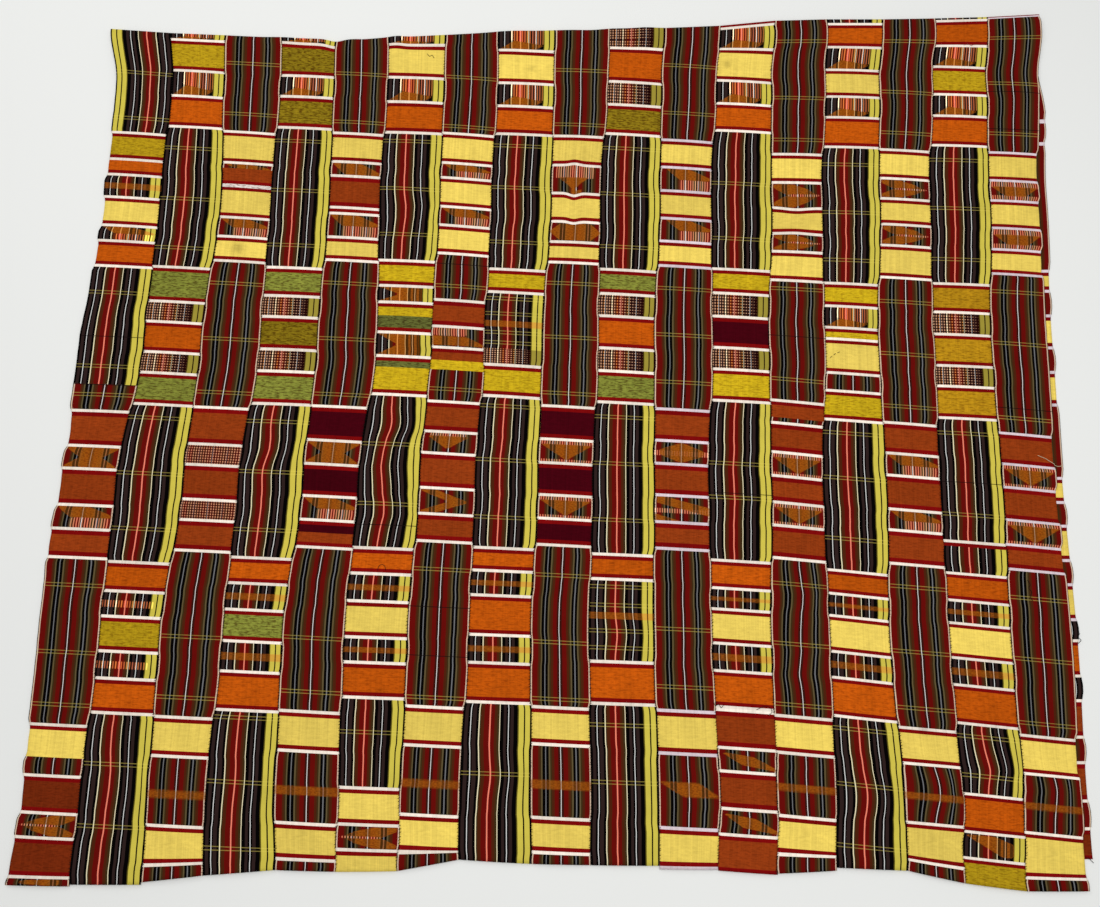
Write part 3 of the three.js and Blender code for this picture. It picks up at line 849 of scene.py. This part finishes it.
# %% Stitches
STITCH_PITCH, STITCH_HALF, THREAD = 5.8, 2.6, 0.4


def tubes(paths, radius):
    """Thin tubes of four sides along paths[tube, point, 3], as vertices and quads; their ends are closed."""
    ahead = np.gradient(paths, axis=1)
    ahead /= np.linalg.norm(ahead, axis=2, keepdims=True)
    beside = np.cross(ahead, [0.0, 0.0, 1.0])
    beside /= np.linalg.norm(beside, axis=2, keepdims=True)
    above = np.cross(beside, ahead)
    ring = [beside, above, -beside, -above]
    vertices = np.stack([paths + radius * r for r in ring], 2)
    many, points = paths.shape[:2]
    n = np.arange(many * points * 4).reshape(many, points, 4)
    turn = np.roll(n, -1, axis=2)
    sides = np.stack([n[:, :-1], turn[:, :-1], turn[:, 1:], n[:, 1:]], -1).reshape(-1, 4)
    return vertices.reshape(-1, 3), np.concatenate([sides, n[:, 0, ::-1], n[:, -1]])


def seam_top(edge, y):
    """Height of the cloth's face at a seam: the lower layer, the air and the upper layer, less the groove."""
    return 2 * SHEET + air_under(edge_x(edge, y), y, EDGES[edge, 8] - RADIUS - SHEET / 2) - GROOVE


paths = []
for edge in range(1, COUNT):
    y = np.arange(EDGES[edge, 9] + 6, EDGES[edge, 8] - 8, STITCH_PITCH)
    y = y + rng.uniform(-1.6, 1.6, y.shape)
    step = np.linspace(-1, 1, 5)
    x = wavy_edge(edge, y)[:, None] + STITCH_HALF * step * rng.uniform(0.75, 1.2, y.shape)[:, None]
    slant = rng.uniform(0.6, 1.6, y.shape)[:, None] * step
    lift = seam_top(edge, y)[:, None] + 0.5 - 0.9 * step**2 + 0.25 * np.abs(step)
    paths.append(np.stack([x, y[:, None] + slant, lift], -1))
sewn, sewn_faces = tubes(np.concatenate(paths), THREAD)
stitch_mesh = mesh_of("seam_stitching", sewn, sewn_faces, np.ones(len(sewn_faces)))
stitching = bpy.data.objects.new("seam_stitching", stitch_mesh)
bpy.context.collection.objects.link(stitching)


def plain_material(name, colour):
    """A matt material of one colour."""
    material = bpy.data.materials.new(name)
    material.use_nodes = True
    shader = material.node_tree.nodes["Principled BSDF"]
    shader.inputs["Base Color"].default_value = rgba(linear(*colour))
    shader.inputs["Roughness"].default_value = 0.9
    shader.inputs["Specular IOR Level"].default_value = 0.05
    return material


dark_thread = plain_material("dark_sewing_thread", (30, 21, 20))
stitch_mesh.materials.append(dark_thread)
print(len(sewn_faces) * 2, "triangles of stitching")

# %% [markdown]
# ## Mends and loose threads
#
# A few thread ends and mends lie on the cloth where the photo shows them. Each is laid through a handful
# of given points, in the drawing's millimetres, and rounded.

# %% Loose threads
LAID_POINTS, LOOSE_THREAD = 21, 0.45
LOOSE = [
    ("cream", [(884, -66), (898, -72), (910, -80), (921, -87), (930, -85)]),
    ("dark", [(-338, -279), (-336, -271), (-330, -267), (-324, -271), (-323, -279)]),
    ("dark", [(268, -512), (273, -520), (278, -514), (282, -524), (287, -517)]),
    ("dark", [(345, -526), (358, -520), (370, -521), (374, -530), (366, -536)]),
    ("dark", [(846, -296), (852, -305), (846, -311), (854, -318), (848, -326), (853, -334)]),
    ("dark", [(936, -392), (930, -398), (938, -404), (931, -410)]),
    ("red", [(800, 770), (806, 764), (811, 770), (817, 763), (824, 766)]),
    ("dark", [(507, 121), (511, 125)]), ("dark", [(514, 127), (518, 130)]),
    ("dark", [(521, 131), (526, 133)]),
    ("dark", [(-268, 746), (-263, 740), (-258, 744), (-254, 737)]),
    ("dark", [(911, -776), (918, -779), (925, -786)]),
    ("dark", [(-962, -811), (-967, -815), (-963, -819)]), ("dark", [(371, -794), (369, -800), (373, -804)]),
]
LOOSE_COLOURS = {"dark": dark_thread, "cream": plain_material("cream_thread", (226, 206, 170)),
                 "red": plain_material("red_thread", (140, 20, 18))}


def laid(points):
    """A thread through listed points: even steps along them, each then averaged with its neighbours."""
    points = np.array(points, float)
    run = np.append(0, np.cumsum(np.hypot(*np.diff(points, axis=0).T)))
    step = np.linspace(0, run[-1], LAID_POINTS)
    line = np.stack([np.interp(step, run, points[:, i]) for i in (0, 1)], 1)
    for _ in range(3):
        line[1:-1] = (line[:-2] + 2 * line[1:-1] + line[2:]) / 4
    x, y = line.T
    on_top = (x < edge_x(COUNT, y)) & (x > edge_x(0, y))
    lift = np.where(on_top, 2 * SHEET + air_under(x, y, 800.0) + PLAIN_CROWN, SHEET) + 0.5
    return np.stack([x, y, lift], 1)


laid_vertices, laid_faces = tubes(np.stack([laid(points) for _, points in LOOSE]), LOOSE_THREAD)
laid_mesh = mesh_of("loose_threads", laid_vertices, laid_faces, np.ones(len(laid_faces)))
for material in LOOSE_COLOURS.values():
    laid_mesh.materials.append(material)
kinds = np.array([list(LOOSE_COLOURS).index(kind) for kind, _ in LOOSE])
per_side = np.repeat(kinds, (LAID_POINTS - 1) * 4)
laid_mesh.polygons.foreach_set("material_index", np.concatenate([per_side, kinds, kinds]).astype(np.int32))
loose = bpy.data.objects.new("loose_threads", laid_mesh)
bpy.context.collection.objects.link(loose)
print(len(LOOSE), "loose threads and mends")

# %% [markdown]
# ## Floor, light and camera
#
# A plain pale floor, a broad soft light overhead and a little more from the upper left. The camera
# stands where the photo was taken from: above the near half, tilted a little towards the fold.

# %% Stage
floor_mesh = bpy.data.meshes.new("floor")
FLOOR_HALF, FLOOR_DROP = 4.0, -0.0004
corners = [(x * FLOOR_HALF, y * FLOOR_HALF, FLOOR_DROP) for x, y in [(-1, -1), (1, -1), (1, 1), (-1, 1)]]
floor_mesh.from_pydata(corners, [], [(0, 1, 2, 3)])
floor = bpy.data.objects.new("floor", floor_mesh)
bpy.context.collection.objects.link(floor)
floor_mesh.materials.append(plain_material("pale_floor", (243, 243, 239)))


def area_light(name, place, turn, size, power):
    """A square soft light at a place, turned by three angles."""
    data = bpy.data.lights.new(name, "AREA")
    data.size, data.energy = size, power
    light = bpy.data.objects.new(name, data)
    light.location, light.rotation_euler = place, turn
    bpy.context.collection.objects.link(light)


area_light("overhead", (0.35, -0.1, 2.9), (0.0, 0.0, 0.0), 2.8, 50)
area_light("from_upper_left", (-1.6, 1.9, 1.9), (-0.75, -0.6, 0.0), 1.2, 14)
world = bpy.context.scene.world or bpy.data.worlds.new("room")
bpy.context.scene.world = world
world.use_nodes = True
world.node_tree.nodes["Background"].inputs[0].default_value = (0.95, 0.97, 1.0, 1.0)
world.node_tree.nodes["Background"].inputs[1].default_value = 0.45
bpy.context.scene.view_settings.view_transform = "Standard"

camera_data = bpy.data.cameras.new("camera")
camera_data.sensor_fit, camera_data.sensor_width, camera_data.lens = "HORIZONTAL", 36.0, 32.73
camera = bpy.data.objects.new("camera", camera_data)
camera.location = (-0.020, -0.375, 1.840)
camera.rotation_euler = (np.radians(9.64), 0.0, 0.0)
bpy.context.collection.objects.link(camera)
bpy.context.scene.camera = camera
print("camera at", tuple(round(c, 3) for c in camera.location))

# %% [markdown]
# ## Attach to the body
#
# Each strip rides the one body and stands for its CAD solid, which is hidden. The stitching and the
# loose threads ride the same body.

# %% Attach and hide
for number, strip in strips.items():
    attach(strip, "root")
    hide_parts("strip_%02d" % number)
for sewing in (stitching, loose):
    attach(sewing, "root")
